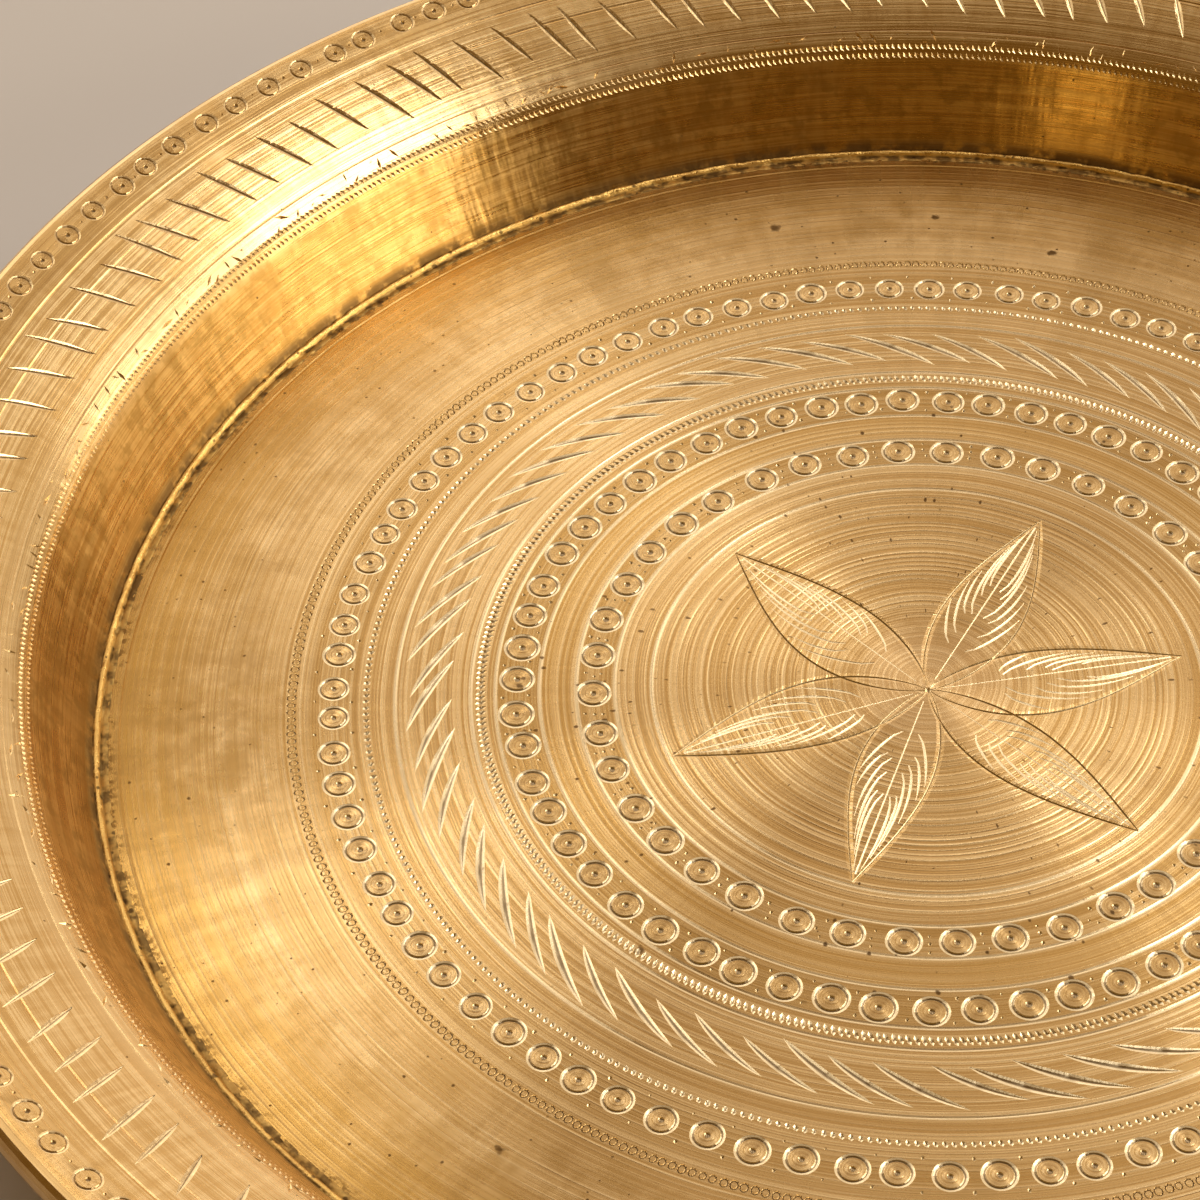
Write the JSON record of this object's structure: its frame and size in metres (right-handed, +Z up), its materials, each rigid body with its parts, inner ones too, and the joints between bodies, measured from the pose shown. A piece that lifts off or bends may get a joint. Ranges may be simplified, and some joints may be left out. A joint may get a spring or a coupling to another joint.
{
  "type": "thali plate",
  "caption": "Round brass serving plate with a flat engraved floor, a sloping wall and a flared rim whose edge is rolled round a wire, for serving a whole meal.",
  "frame": {"origin": "centre of the flat foot that the plate stands on, at the level of the surface under it", "axes": "+Z up along the axis of the plate, +Y away from the viewer of the picture, +X to the viewer's right"},
  "size_m": [0.305, 0.305, 0.0278],
  "materials": {
    "floor_brass": "turned in fine rings, engraved, mellow patina",
    "rim_brass": "spun and polished, worn bright at the shoulder",
    "braze": "rough pitted filler, dark in its crevices",
    "wire": "plain drawn wire"
  },
  "bodies": {
    "root": {"floor_disc": "floor_brass", "wall_and_rim": "rim_brass", "seam_bead": "braze", "rim_wire": "wire"}
  },
  "joints": []
}
